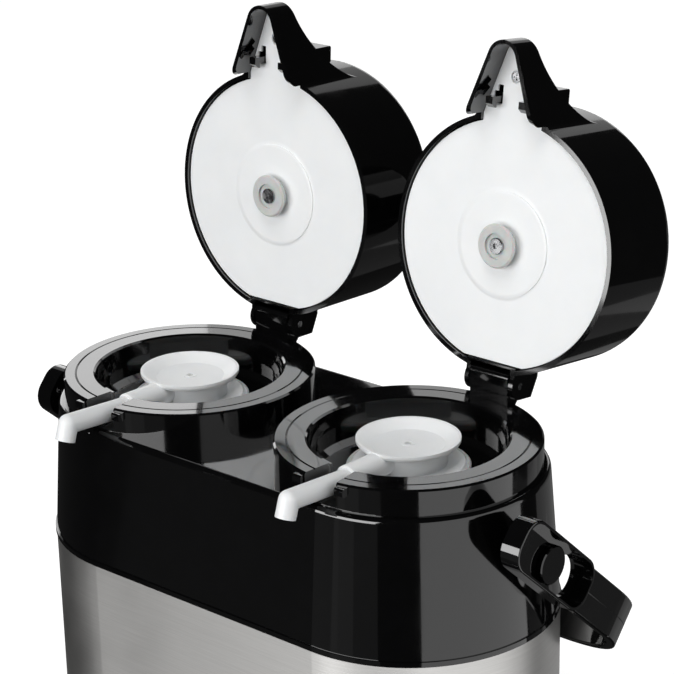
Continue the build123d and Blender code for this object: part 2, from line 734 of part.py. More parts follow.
slot_outer = hook_outer + slot_gap
slot_inner = hook_inner - slot_gap
slot_front = latch_y - 2.6 - slot_gap - 1.7
slot_back = latch_y + 1.0 + slot_gap
with BuildPart() as lid_plate:
    with BuildSketch(Plane.XY.offset(plate_bottom)):
        Circle(lid_radius - rim_wall - fit_gap)
        with Locations((0, plate_chord + 20.0)):
            Rectangle(3 * lid_radius, 40.0, mode=Mode.SUBTRACT)
    extrude(amount=plate_wall)
    with BuildSketch(Plane.XY.offset(plate_bottom)):
        with Locations((0, -beak_tip + beak_round)):
            Circle(beak_round - beak_wall - plate_gap)
        with Locations((0, -lid_radius + 12.0)):
            Rectangle(beak_root_width - 2 * beak_wall - 2 * plate_gap, 20.0)
        make_hull()
    extrude(amount=tongue_wall)
    with BuildSketch(Plane.XY.offset(plate_bottom)):
        with Locations((0, -tongue_screw_at)):
            Circle(tongue_recess_radius + 1.2)
    extrude(amount=tongue_pad)
    with BuildSketch(Plane.XY.offset(plate_bottom)):
        Circle(plateau_radius)
    extrude(amount=-plateau_step)
    with BuildSketch(Plane.XY.offset(plate_bottom - 10.0)):
        Circle(seat_ring_radius - 2.0)
    extrude(amount=20.0, mode=Mode.SUBTRACT)
    with BuildSketch(Plane.XY.offset(plate_bottom)):
        with Locations((0, -tongue_screw_at)):
            Circle(tongue_screw_radius + pin_gap)
    extrude(amount=20.0, mode=Mode.SUBTRACT)
    with BuildSketch(Plane.XY.offset(plate_bottom)):
        with Locations((0, -tongue_screw_at)):
            Circle(tongue_recess_radius)
    extrude(amount=tongue_head_height, mode=Mode.SUBTRACT)
    for hook_side in (-1, 1):
        with BuildSketch(Plane.XY.offset(plate_bottom - 1.0)):
            with Locations((hook_side * (slot_inner + slot_outer) / 2, (slot_front + slot_back) / 2)):
                Rectangle(slot_outer - slot_inner, slot_back - slot_front)
            with Locations((hook_side * (slot_inner + slot_narrow / 2), slot_front - slot_length / 2 + 0.5)):
                Rectangle(slot_narrow, slot_length + 1.0)
        extrude(amount=plate_wall + 2.0, mode=Mode.SUBTRACT)
write_lid_sides(lid_plate, "lid_plate")

# ================================================================ valve under the lid
plateau_z = plate_bottom - plateau_step
seat_face = ring_top - seat_reach
screw_seat = seat_face + 1.6
with BuildPart() as valve_seat:
    with BuildSketch(Plane.XZ):
        with BuildLine():
            Polyline(
                (0, screw_seat),
                (seat_ring_radius, screw_seat),
                (seat_ring_radius, seat_face),
                (seat_radius - 1.0, seat_face),
                (seat_radius, seat_face + 1.0),
                (seat_radius - 2.6, plateau_z),
                (seat_ring_radius - 2.0 - fit_gap, plateau_z),
                (seat_ring_radius - 2.0 - fit_gap, plate_top + 1.0),
                (0, plate_top + 1.0),
                close=True,
            )
        make_face()
    revolve(axis=Axis.Z)
    with BuildSketch(Plane.XY.offset(seat_face - 1.0)):
        Circle(screw_radius + pin_gap)
    extrude(amount=20.0, mode=Mode.SUBTRACT)
write_lid_sides(valve_seat, "valve_seat")

with BuildPart() as valve_screw:
    with BuildSketch(Plane.XY.offset(screw_seat)):
        Circle(valve_screw_radius)
    extrude(amount=-1.4)
    chamfer(valve_screw.faces().sort_by(Axis.Z)[0].edges(), 0.4)
    with BuildSketch(Plane.XY.offset(screw_seat)):
        Circle(screw_radius)
    extrude(amount=9.0)
    with BuildSketch(Plane.XY.offset(screw_seat - 1.4)):
        RegularPolygon(radius=1.8, side_count=6)
    extrude(amount=0.9, mode=Mode.SUBTRACT)
write_lid_sides(valve_screw, "valve_screw")

# ================================================================ pump
button_top = lid_top + button_proud
button_under = button_top - button_wall
button_skirt = 4 * lid_wall + button_proud + 1.6
with BuildPart() as push_button:
    with BuildSketch(Plane.XY.offset(button_top)):
        Circle(button_radius)
    extrude(amount=-button_skirt)
    fillet(push_button.faces().sort_by(Axis.Z)[-1].edges(), 1.8)
    with BuildSketch(Plane.XY.offset(button_top - button_skirt)):
        Circle(button_radius + 2.4)
    extrude(amount=1.2)
    with BuildSketch(Plane.XY.offset(button_under)):
        Circle(button_radius - button_wall)
    extrude(amount=-button_skirt, mode=Mode.SUBTRACT)
    with Locations((0, 0, button_top + 98.8)):
        Sphere(100.0, mode=Mode.SUBTRACT)
write_lid_sides(push_button, "push_button")

fold_height = (button_under - plate_top) / (2 * bellows_folds)
outer_folds = [
    (bellows_radius - (step % 2) * bellows_depth, plate_top + step * fold_height)
    for step in range(2 * bellows_folds + 1)
]
inner_folds = [(r - bellows_wall, z) for r, z in reversed(outer_folds)]
with BuildPart() as bellows:
    with BuildSketch(Plane.XZ):
        with BuildLine():
            Polyline(*outer_folds, *inner_folds, close=True)
        make_face()
    revolve(axis=Axis.Z)
write_lid_sides(bellows, "bellows")

spring_length = button_under - plate_top - 2 * spring_wire - 2 * fit_gap
with BuildPart() as pump_spring:
    with BuildLine(Plane.XY.offset(plate_top + spring_wire + fit_gap)) as coil:
        Helix(spring_length / spring_turns, spring_length, spring_radius)
    with BuildSketch(Plane(coil.line @ 0, z_dir=coil.line % 0)):
        Circle(spring_wire)
    sweep(path=coil.line, is_frenet=True)
write_lid_sides(pump_spring, "pump_spring")

# ================================================================ latch
hook_bottom = ring_top - hook_below_ring
with BuildPart() as latch:
    with BuildSketch(Plane.YZ):
        with Locations((latch_y, latch_z)):
            Circle(latch_arm)
    extrude(amount=hook_outer, both=True)
    with BuildSketch(Plane.XY.offset(latch_z)):
        with Locations((0, latch_y - tab_ahead)):
            RectangleRounded(tab_width, tab_thick, 1.0)
    extrude(amount=tab_top - latch_above)
    fillet(latch.faces().sort_by(Axis.Z)[-1].edges(), 0.8)
    with BuildSketch(Plane.YZ):
        with BuildLine():
            Polyline(
                (latch_y - 2.6, latch_z),
                (latch_y + 1.6, latch_z),
                (latch_y + 1.0, plate_top),
                (latch_y + 0.6, hook_bottom + 4.0),
                (latch_y + hook_reach, hook_bottom + 4.0),
                (latch_y + hook_reach, hook_bottom + 2.6),
                (latch_y + 1.2, hook_bottom),
                (latch_y - 2.6, hook_bottom),
                close=True,
            )
        make_face()
    extrude(amount=hook_outer, both=True)
    with BuildSketch(Plane.YZ):
        with Locations((latch_y, (hook_bottom + latch_z - latch_arm) / 2 - 1.0)):
            Rectangle(30.0, latch_z - latch_arm - hook_bottom + 2.0)
    extrude(amount=hook_inner, both=True, mode=Mode.SUBTRACT)
    with BuildSketch(Plane.YZ):
        with Locations((latch_y, latch_z)):
            Circle(latch_pin_radius + pin_gap)
    extrude(amount=tab_width, both=True, mode=Mode.SUBTRACT)
write_lid_sides(latch, "latch")

with BuildPart() as latch_pin:
    with BuildSketch(Plane.YZ):
        with Locations((latch_y, latch_z)):
            Circle(latch_pin_radius)
    extrude(amount=beak_root_width / 2 - 3.7, both=True)
write_lid_sides(latch_pin, "latch_pin")

with BuildPart() as tongue_screw:
    with BuildSketch(Plane.XY.offset(plate_bottom)):
        with Locations((0, -tongue_screw_at)):
            Circle(tongue_head_radius)
    extrude(amount=tongue_head_height)
    fillet(tongue_screw.faces().sort_by(Axis.Z)[0].edges(), 0.4)
    with BuildSketch(Plane.XY.offset(plate_bottom + 0.5)):
        with Locations((0, -tongue_screw_at)):
            Circle(tongue_screw_radius)
    extrude(amount=plate_wall + 4.5)
    with BuildSketch(Plane.XY.offset(plate_bottom)):
        with Locations((0, -tongue_screw_at)):
            Rectangle(1.4 * tongue_head_radius, 0.8)
            Rectangle(0.8, 1.4 * tongue_head_radius)
    extrude(amount=tongue_head_height / 2, mode=Mode.SUBTRACT)
write_lid_sides(tongue_screw, "tongue_screw")

# ================================================================ lift-out spout
cap_top = ring_top - cap_below_ring
cap_floor = cap_top - cap_dish
disc_top = ring_top - disc_below_ring
disc_bottom = disc_top - disc_wall
channel_z = disc_top + spout_bore + 1.3
spout_points = [
    (-stem_radius / 2, channel_z),
    (-stem_radius - 2.0, channel_z),
    (-well_radius, ring_top - spout_root_below_ring),
    (-spout_bend, ring_top - spout_bend_below_ring),
    (-spout_bend - spout_lean, ring_top - spout_lip_below_ring),
]
horn_start = (-stem_radius + 3.0, ring_top - horn_below_ring)
horn_end = (-horn_reach, ring_top - spout_root_below_ring - 0.1)
with BuildPart() as siphon_spout:
    for start, end in zip(spout_points, spout_points[1:]):
        leg = hypot(end[0] - start[0], end[1] - start[1])
        with BuildSketch(Plane(origin=(0, *start), z_dir=(0, end[0] - start[0], end[1] - start[1]))):
            Circle(spout_radius)
        extrude(amount=leg)
    with Locations(*[(0, *point) for point in spout_points[1:-1]]):
        Sphere(spout_radius)
    horn_step = (horn_end[0] - horn_start[0], horn_end[1] - horn_start[1])
    with BuildSketch(Plane(origin=(0, *horn_start), z_dir=(0, *horn_step))):
        Circle(horn_radius)
    extrude(amount=hypot(*horn_step))
    round_edges = siphon_spout.edges().filter_by(GeomType.CIRCLE)
    horn_rims = round_edges.filter_by(lambda rim: rim.radius > horn_radius - 0.1)
    chamfer(horn_rims.sort_by(Axis.Y)[0], 0.6)
    with BuildSketch(Plane.XY.offset(disc_top - 10.0)):
        Circle(gasket_radius + 1.0)
    extrude(amount=10.5, mode=Mode.SUBTRACT)
    with BuildSketch(Plane.XZ):
        with BuildLine():
            Polyline(
                (0, disc_top),
                (stem_radius, disc_top),
                (stem_radius, cap_floor - cap_wall),
                (cap_radius - 1.0, cap_top - 2 * cap_wall),
                (cap_radius, cap_top - cap_wall),
                (cap_radius, cap_top),
                (cap_radius - cap_wall, cap_top),
                (cap_floor_radius, cap_floor),
                (0, cap_floor),
                close=True,
            )
        make_face()
    revolve(axis=Axis.Z)
    with BuildSketch(Plane.XZ):
        with BuildLine():
            Polyline(
                (0, cap_floor),
                (cap_floor_radius, cap_floor),
                (cap_radius - cap_wall, cap_top),
                (cap_radius - cap_wall, cap_top + 3.0),
                (0, cap_top + 3.0),
                close=True,
            )
        make_face()
    revolve(axis=Axis.Z, mode=Mode.SUBTRACT)
    with BuildSketch(Plane.XY.offset(cap_floor)):
        Circle(2 * cap_hole)
    extrude(amount=0.4)
    with BuildSketch(Plane.XY.offset(disc_top)):
        Circle(stem_radius - cap_wall)
        Circle(spout_bore + 2.0, mode=Mode.SUBTRACT)
        with Locations((0, -cap_radius / 2)):
            Rectangle(2 * horn_radius, cap_radius, mode=Mode.SUBTRACT)
    extrude(amount=cap_floor - 2 * cap_wall - disc_top, mode=Mode.SUBTRACT)
    with BuildLine() as channel:
        FilletPolyline(
            (0, 0, disc_top - 1.0),
            (0, 0, channel_z),
            (0, *spout_points[1]),
            (0, *spout_points[2]),
            (0, *spout_points[3]),
            (0, -spout_bend - 1.25 * spout_lean, ring_top - spout_lip_below_ring - 2.2),
            radius=4.2,
        )
    with BuildSketch(Plane.XY.offset(disc_top - 1.0)):
        Circle(spout_bore)
    sweep(path=channel.line, mode=Mode.SUBTRACT)
    with BuildSketch(Plane.XY.offset(cap_floor + 1.0)):
        Circle(cap_hole)
    extrude(amount=-4.0, mode=Mode.SUBTRACT)
write_sides(siphon_spout, "siphon_spout")

with BuildPart() as siphon_stopper:
    with BuildSketch(Plane.XZ):
        with BuildLine():
            Polyline(
                (spout_bore, disc_top),
                (disc_radius - 0.8, disc_top),
                (disc_radius, disc_top - 0.8),
                (disc_radius, disc_bottom),
                (plug_radius, disc_bottom),
                (plug_radius - 1.0, disc_bottom - plug_length),
                (plug_radius - 1.0 - plug_wall, disc_bottom - plug_length),
                (plug_radius - plug_wall, disc_bottom),
                (spigot_radius, disc_bottom),
                (spigot_radius, disc_bottom - spigot_length),
                (tube_radius + pin_gap, disc_bottom - spigot_length),
                (tube_radius + pin_gap, disc_bottom - 3.0),
                (spout_bore, disc_bottom - 3.0),
                close=True,
            )
        make_face()
    revolve(axis=Axis.Z)
write_sides(siphon_stopper, "siphon_stopper")

gasket_bottom = disc_bottom - gasket_thick
with BuildPart() as siphon_gasket:
    with BuildSketch(Plane.XZ):
        with BuildLine():
            Polyline(
                (plug_radius + fit_gap, gasket_bottom),
                (gasket_radius - 0.8, gasket_bottom),
                (gasket_radius, gasket_bottom + 0.8),
                (gasket_radius, disc_bottom + gasket_lip - 0.8),
                (gasket_radius - 0.8, disc_bottom + gasket_lip),
                (disc_radius + fit_gap, disc_bottom + gasket_lip),
                (disc_radius + fit_gap, disc_bottom),
                (plug_radius + fit_gap, disc_bottom),
                close=True,
            )
        make_face()
    revolve(axis=Axis.Z)
write_sides(siphon_gasket, "siphon_gasket")

tube_top = disc_bottom - 3.0 - fit_gap
tube_bottom = flask_base + 2 * glass_wall + vacuum_gap + tube_floor_gap
with BuildPart() as siphon_tube:
    with BuildSketch(Plane.XY.offset(tube_bottom)):
        Circle(tube_radius)
        Circle(tube_bore, mode=Mode.SUBTRACT)
    extrude(amount=tube_top - tube_bottom)
write_sides(siphon_tube, "siphon_tube")

# ================================================================ bail handle
# Drawn flat, reaching along +Y, then laid down against the back of the body.

strap_outer = hub_face - 2.5
strap_inner = strap_outer - bail_thick
hub_middle = (hub_behind - hub_ahead) / 2
keyhole_radius = stud_radius + stud_gap + bail_sag
hub_length = hub_behind + hub_ahead
bend_start = (strap_outer - bail_bend, bail_reach)
bend_end = (strap_outer, bail_reach - bail_bend)
with BuildPart() as bail:
    with BuildSketch(Plane.XY.offset(-bail_width / 2)):
        with BuildLine():
            Line((0, bail_reach), bend_start)
            RadiusArc(bend_start, bend_end, bail_bend)
            Line(bend_end, (strap_outer, 0))
            Line((strap_outer, 0), (strap_inner, 0))
            Line((strap_inner, 0), (strap_inner, bail_reach - bail_bend))
            RadiusArc(
                (strap_inner, bail_reach - bail_bend),
                (strap_outer - bail_bend, bail_reach - bail_thick),
                bail_thick - bail_bend,
            )
            Line((strap_outer - bail_bend, bail_reach - bail_thick), (0, bail_reach - bail_thick))
            Line((0, bail_reach - bail_thick), (0, bail_reach))
        make_face()
    extrude(amount=bail_width)
    rims = bail.faces().filter_by(Axis.Z).edges().filter_by(lambda edge: edge.length > 2 * bail_thick)
    fillet(rims, bail_edge)
    with BuildSketch(Plane.XY.offset(-bail_line / 2)):
        with BuildLine():
            Line(bend_start, (strap_outer - bail_bend, bail_reach - bail_line))
            RadiusArc(
                (strap_outer - bail_bend, bail_reach - bail_line),
                (strap_outer - bail_line, bail_reach - bail_bend),
                bail_bend - bail_line,
            )
            Line((strap_outer - bail_line, bail_reach - bail_bend), (strap_outer - bail_line, hub_behind))
            Line((strap_outer - bail_line, hub_behind), (strap_outer, hub_behind))
            Line((strap_outer, hub_behind), bend_end)
            RadiusArc(bend_end, bend_start, -bail_bend)
        make_face()
    extrude(amount=bail_line, mode=Mode.SUBTRACT)
    with BuildSketch(Plane.YZ.offset(hub_inner)):
        with Locations((hub_middle, 0)):
            RectangleRounded(hub_length, hub_width, hub_round)
    extrude(amount=hub_depth)
    hub_rim = bail.faces().sort_by(Axis.X)[-1].edges()
    fillet(hub_rim, 0.8)
    with BuildSketch(Plane.YZ.offset(hub_inner + hub_floor)):
        with Locations((hub_middle, 0)):
            RectangleRounded(hub_length - 2 * hub_wall, hub_width - 2 * hub_wall, hub_round - hub_wall)
    extrude(amount=hub_depth, mode=Mode.SUBTRACT)
    with BuildSketch(Plane.YZ.offset(hub_inner)):
        Circle(keyhole_radius)
        with Locations((keyhole_offset, 0)):
            Circle(stud_head_radius + 2 * stud_gap)
        with Locations((keyhole_offset / 2, 0)):
            Rectangle(keyhole_offset, 2 * keyhole_radius)
    extrude(amount=hub_floor + 0.1, mode=Mode.SUBTRACT)
    with BuildSketch(Plane.YZ.offset(hub_inner + 0.5)):
        with Locations((-peg_ahead, 0)):
            Circle(peg_radius)
    extrude(amount=-peg_length - 0.5)
    mirror(about=Plane.YZ)
write(Pos(bail_slide, 0, bail_z) * Rot(-bail_angle, 0, 0) * bail.part, "handle")

head_face = hub_inner + hub_floor + bail_slide + move_gap + stud_head_thick
inside_face = body_end_x - shoulder_wall - 1.5
with BuildPart() as stud:
    with BuildSketch(Plane.XY.offset(pivot_z)):
        with BuildLine():
            Polyline(
                (inside_face - 3.0, 0),
                (inside_face - 3.0, stud_collar_radius),
                (inside_face, stud_collar_radius),
                (inside_face, stud_radius),
                (head_face - stud_head_thick, stud_radius),
                (head_face - stud_head_thick, stud_head_radius),
                (head_face - 0.6, stud_head_radius),
                (head_face, stud_head_radius - 0.6),
                (head_face, 0),
                close=True,
            )
        make_face()
    revolve(axis=Axis((0, 0, pivot_z), (1, 0, 0)))
write(stud.part, "handle_stud_right")
write(Rot(0, 0, 180) * stud.part, "handle_stud_left")
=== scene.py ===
# %% [markdown]
# # A twin pump pot with flip lids
#
# The pot is two vacuum flasks in one oval steel body. A black moulded shoulder carries two collars, and on each
# collar a pump lid flips up about a hinge at the back. A white spout lifts out of each collar, and a black bail
# handle hangs from two studs at the ends of the body.
#
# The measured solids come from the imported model. This script gives each its finish and lights the pot on a plain
# floor.

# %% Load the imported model
import json
from math import pi, radians

import bpy
from mathutils import Matrix, Vector


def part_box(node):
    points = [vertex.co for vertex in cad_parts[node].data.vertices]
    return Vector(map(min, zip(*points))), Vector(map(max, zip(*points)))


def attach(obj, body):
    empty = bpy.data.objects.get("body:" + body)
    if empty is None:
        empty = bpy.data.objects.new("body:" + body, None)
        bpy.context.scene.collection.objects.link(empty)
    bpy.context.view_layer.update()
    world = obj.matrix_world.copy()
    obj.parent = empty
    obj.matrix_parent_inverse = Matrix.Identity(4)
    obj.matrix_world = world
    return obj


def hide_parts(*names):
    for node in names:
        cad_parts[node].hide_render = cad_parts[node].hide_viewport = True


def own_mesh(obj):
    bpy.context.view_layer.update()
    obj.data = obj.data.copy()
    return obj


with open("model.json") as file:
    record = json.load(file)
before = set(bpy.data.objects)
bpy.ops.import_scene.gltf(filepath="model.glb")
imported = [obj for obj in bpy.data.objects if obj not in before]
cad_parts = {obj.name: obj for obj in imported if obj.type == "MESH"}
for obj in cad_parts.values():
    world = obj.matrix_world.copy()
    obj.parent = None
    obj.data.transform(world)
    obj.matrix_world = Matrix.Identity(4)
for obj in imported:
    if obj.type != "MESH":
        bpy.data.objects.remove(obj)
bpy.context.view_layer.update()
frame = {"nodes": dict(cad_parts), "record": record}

nodes = frame["nodes"]
sides = ("left", "right")
mm = 0.001
bpy.ops.object.select_all(action="DESELECT")

# %% [markdown]
# ## Camera
#
# A long lens on a full-frame sensor keeps the two lids nearly the same size. The camera stands to the right of the
# front, a little above the lids' hinges, and leans over by about a degree.
#
# A camera looks down its own -Z with +Y up. It is therefore tipped up from straight down, and then turned about the
# upright axis. The lean comes first, about its own line of sight.

# %% Set up the camera
sensor_width = 36.0
focal_length = 124.86
camera_place = Vector((0.78346, -0.85938, 0.77075))
camera_turn = radians(41.203)
camera_dip = radians(20.536)
camera_lean = radians(-1.262)

lens = bpy.data.cameras.new("camera")
lens.sensor_width = sensor_width
lens.lens = focal_length
camera = bpy.data.objects.new("camera", lens)
bpy.context.scene.collection.objects.link(camera)
turn = Matrix.Rotation(camera_turn, 4, "Z")
tip = Matrix.Rotation(pi / 2 - camera_dip, 4, "X")
lean = Matrix.Rotation(camera_lean, 4, "Z")
camera.matrix_world = Matrix.Translation(camera_place) @ turn @ tip @ lean
bpy.context.scene.camera = camera
print("camera at", [round(value, 3) for value in camera_place])

# %% [markdown]
# ## Colours
#
# Colours are written as the hex values a colour picker shows. Shaders work with linear light, so one function turns
# the one into the other.


# %% Colours
def linear(hex_colour):
    """The linear RGBA colour of an sRGB hex value such as #1a1a1c."""
    channels = [int(hex_colour[start:start + 2], 16) / 255 for start in (1, 3, 5)]
    light = [c / 12.92 if c <= 0.04045 else ((c + 0.055) / 1.055) ** 2.4 for c in channels]
    return (*light, 1.0)


print("mid grey #808080 is", round(linear("#808080")[0], 3), "in linear light")

# %% [markdown]
# ## Nodes
#
# A finish is a small graph of nodes that ends in a shader. One function feeds the inputs of a node that is there, and
# one adds a node and feeds it. An input takes a plain value, or is linked to another node.


# %% Nodes
def feed(node, **inputs):
    """Feeds inputs, named with underscores. Each takes a value, an output, or a node for its first output."""
    for name, value in inputs.items():
        socket = next(s for s in node.inputs if s.enabled and s.name.replace(" ", "_") == name)
        if isinstance(value, bpy.types.Node):
            value = next(s for s in value.outputs if s.enabled)
        if isinstance(value, bpy.types.NodeSocket):
            node.id_data.links.new(value, socket)
        else:
            socket.default_value = value


def add_node(tree, kind, settings=None, **inputs):
    """Adds a node with its settings and feeds it. The kind is what follows ShaderNode in its type's name."""
    node = tree.nodes.new("ShaderNode" + kind)
    for name, value in (settings or {}).items():
        setattr(node, name, value)
    feed(node, **inputs)
    return node


def new_finish(name):
    """A new material, its tree, its shader, and the place on the object in metres for a pattern to read."""
    material = bpy.data.materials.new(name)
    material.use_nodes = True
    tree = material.node_tree
    place = add_node(tree, "TexCoord").outputs["Object"]
    return material, tree, tree.nodes["Principled BSDF"], place


print("made", feed.__name__, add_node.__name__, new_finish.__name__)

# %% [markdown]
# ## Patterns
#
# Most finishes are driven by noise. A painted image could do it too, but noise needs no file, has no seams and never
# repeats. Its scale counts blotches to the metre, so a size in millimetres is turned round. Noise seldom leaves the
# middle of its range, so a Map Range node spreads that middle over the values wanted.


# %% Patterns
def blotches(size_mm):
    """The scale of a noise whose blotches are about size_mm across."""
    return 1000.0 / size_mm


noise_middle = {"From_Min": 0.3, "From_Max": 0.7}
two_colours = {"data_type": "RGBA"}
print("a 5 mm blotch is a scale of", blotches(5.0))

# %% [markdown]
# ## Polished black ABS
#
# The shoulder, collars, lids, bail and base are injection-moulded ABS from a polished mould. The colour goes right
# through, so it is nearly black. What the eye reads is the gloss. Light bends slightly over a shallow orange peel,
# the wave that plastic takes as it shrinks in the mould, and hands leave patches that shine a little less.


# %% Polished black ABS
def make_black_abs():
    finish, tree, shader, place = new_finish("black_ABS")
    flow = add_node(tree, "TexNoise", Vector=place, Scale=blotches(9.0))
    tone = add_node(tree, "Mix", two_colours, Factor=flow, A=linear("#040404"), B=linear("#070708"))
    handled = add_node(tree, "TexNoise", Vector=place, Scale=blotches(28.0), Detail=3.0)
    gloss = add_node(tree, "MapRange", Value=handled, From_Min=0.35, From_Max=0.7, To_Min=0.05, To_Max=0.13)
    peel = add_node(tree, "TexNoise", Vector=place, Scale=blotches(24.0), Detail=1.0)
    wave = add_node(tree, "Bump", Height=peel, Strength=1.0, Distance=0.02 * mm)
    feed(shader, Base_Color=tone, Roughness=gloss, Normal=wave)
    feed(shader, IOR=1.62, Coat_Weight=1.0, Coat_Roughness=0.04)
    return finish


black_abs = make_black_abs()
print("made", black_abs.name)

# %% [markdown]
# ## Brushed stainless steel
#
# The body's wall is a band of stainless sheet, brushed along its length before it was bent round the oval. Brushing
# leaves fine scratches that run level round the body, and light spreads across them into soft upright bands.
#
# The shader's anisotropy spreads the light, and a bump shows the grain itself. The scratches are noise drawn out a
# hundredfold along the wall. Real ones are under a tenth of a millimetre wide. They are drawn at about a third of a
# millimetre, so that the grain shows.

# %% Brushed stainless steel
scratch_width_mm = 0.35
scratch_stretch = 100.0


def make_brushed_steel():
    finish, tree, shader, place = new_finish("brushed_stainless_steel")
    drawn_out = (1.0 / scratch_stretch, 1.0 / scratch_stretch, 1.0)
    along = add_node(tree, "Mapping", Vector=place, Scale=drawn_out)
    grain = add_node(
        tree, "TexNoise", Vector=along, Scale=blotches(scratch_width_mm), Detail=3.0, Roughness=0.7
    )
    streak = add_node(tree, "MapRange", Value=grain, **noise_middle)
    tone = add_node(tree, "Mix", two_colours, Factor=streak, A=linear("#bab9b7"), B=linear("#c8c7c5"))
    handled = add_node(tree, "TexNoise", Vector=place, Scale=blotches(50.0))
    gloss = add_node(tree, "MapRange", Value=handled, To_Min=0.3, To_Max=0.37, **noise_middle)
    scratch = add_node(tree, "Bump", Height=grain, Strength=1.0, Distance=0.005 * mm)
    round_body = add_node(tree, "Tangent", {"direction_type": "RADIAL", "axis": "Z"})
    feed(shader, Base_Color=tone, Roughness=gloss, Normal=scratch, Tangent=round_body)
    feed(shader, Metallic=1.0, Anisotropic=0.5)
    return finish


brushed_steel = make_brushed_steel()
print("made", brushed_steel.name)

# %% [markdown]
# ## Food-grade polypropylene
#
# The plates under the lids and the parts that the drink passes through are natural white polypropylene. It is a
# milky plastic: light goes a few millimetres in and comes out softened, so edges glow a little and no shadow on it
# is quite dark. Its mould was sparked to a fine satin, which breaks up the gloss.
#
# Each plate under a lid has a round plateau in its middle, whose edge was filed soft in the mould. The step itself is
# in the solid. The finish only rounds its corner, with a height that rises smoothly across the step. It is measured
# out from a middle, which differs between the two plates, so a function makes the finish.

# %% Food-grade polypropylene
plateau_flat, plateau_foot = 26.8 * mm, 30.8 * mm
plateau_step = {"From_Min": plateau_flat, "From_Max": plateau_foot, "To_Min": 1.0, "To_Max": 0.0}


def make_white_polypropylene(name="white_polypropylene", plateau_middle=None):
    finish, tree, shader, place = new_finish(name)
    milk = add_node(tree, "TexNoise", Vector=place, Scale=blotches(22.0), Detail=3.0)
    tone = add_node(tree, "Mix", two_colours, Factor=milk, A=linear("#eceeef"), B=linear("#f5f6f6"))
    handled = add_node(tree, "TexNoise", Vector=place, Scale=blotches(14.0))
    gloss = add_node(tree, "MapRange", Value=handled, To_Min=0.3, To_Max=0.42, **noise_middle)
    spark = add_node(tree, "TexNoise", Vector=place, Scale=blotches(0.6), Detail=1.0)
    satin = add_node(tree, "Bump", Height=spark, Strength=1.0, Distance=0.01 * mm)
    if plateau_middle:
        reach = add_node(tree, "VectorMath", {"operation": "DISTANCE"}, Vector=place)
        reach.inputs[1].default_value = plateau_middle
        step = add_node(tree, "MapRange", {"interpolation_type": "SMOOTHSTEP"}, Value=reach, **plateau_step)
        satin = add_node(tree, "Bump", Height=step, Strength=1.0, Distance=0.42 * mm, Normal=satin)
    feed(shader, Base_Color=tone, Roughness=gloss, Normal=satin)
    feed(shader, IOR=1.49, Subsurface_Weight=0.25, Subsurface_Scale=2.0 * mm, Subsurface_Radius=(1.0, 0.9, 0.8))
    return finish


white_polypropylene = make_white_polypropylene()
print("made", white_polypropylene.name)

# %% [markdown]
# The valve's seat is fixed in the middle of the plateau, so the middle of its box is where each plate's own finish
# measures from.

# %% The plates' own finishes
plate_finishes = {}
for side in sides:
    seat_low, seat_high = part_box(f"valve_seat_{side}")
    seat_middle = [(low + high) / 2 for low, high in zip(seat_low, seat_high)]
    plate_finishes[f"lid_plate_{side}"] = make_white_polypropylene(f"plate_polypropylene_{side}", seat_middle)
print("made", [finish.name for finish in plate_finishes.values()])

# %% [markdown]
# ## Grey silicone
#
# The seals that touch the drink are moulded silicone. It is soft, grey and slightly see-through, so a little light
# goes into it. Its satin skin holds dust, and that makes its gloss uneven.


# %% Grey silicone
def make_silicone():
    finish, tree, shader, place = new_finish("grey_silicone")
    cloud = add_node(tree, "TexNoise", Vector=place, Scale=blotches(5.0), Detail=3.0)
    tone = add_node(tree, "Mix", two_colours, Factor=cloud, A=linear("#b9bbba"), B=linear("#d0d1cf"))
    dust = add_node(tree, "TexNoise", Vector=place, Scale=blotches(3.0))
    gloss = add_node(tree, "MapRange", Value=dust, To_Min=0.35, To_Max=0.5, **noise_middle)
    skin = add_node(tree, "TexNoise", Vector=place, Scale=blotches(0.8))
    satin = add_node(tree, "Bump", Height=skin, Strength=1.0, Distance=0.02 * mm)
    feed(shader, Base_Color=tone, Roughness=gloss, Normal=satin)
    feed(shader, IOR=1.41, Subsurface_Weight=0.4, Subsurface_Scale=3.0 * mm)
    return finish


grey_silicone = make_silicone()
print("made", grey_silicone.name)

# %% [markdown]
# ## Black rubber
#
# The feet and the bellows are moulded EPDM rubber. Its face is matte, and paler where dust and bloom lie on it. One
# noise drives both, so that the palest patches are the roughest too.


# %% Black rubber
def make_black_rubber():
    finish, tree, shader, place = new_finish("black_EPDM_rubber")
    dust = add_node(tree, "TexNoise", Vector=place, Scale=blotches(6.0), Detail=4.0, Roughness=0.6)
    bloom = add_node(tree, "MapRange", Value=dust, From_Min=0.4, From_Max=0.75)
    tone = add_node(tree, "Mix", two_colours, Factor=bloom, A=linear("#141414"), B=linear("#262625"))
    gloss = add_node(tree, "MapRange", Value=dust, To_Min=0.55, To_Max=0.75, **noise_middle)
    skin = add_node(tree, "TexNoise", Vector=place, Scale=blotches(0.5), Detail=3.0)
    matte = add_node(tree, "Bump", Height=skin, Strength=1.0, Distance=0.04 * mm)
    feed(shader, Base_Color=tone, Roughness=gloss, Normal=matte)
    feed(shader, IOR=1.5)
    return finish


black_rubber = make_black_rubber()
print("made", black_rubber.name)

# %% [markdown]
# ## Silvered glass
#
# The flasks are blown glass, silvered on the inside of their double wall. A blown wall is never quite even, so its
# mirror waves slowly. Metal under a clear coat gives silver seen through glass.


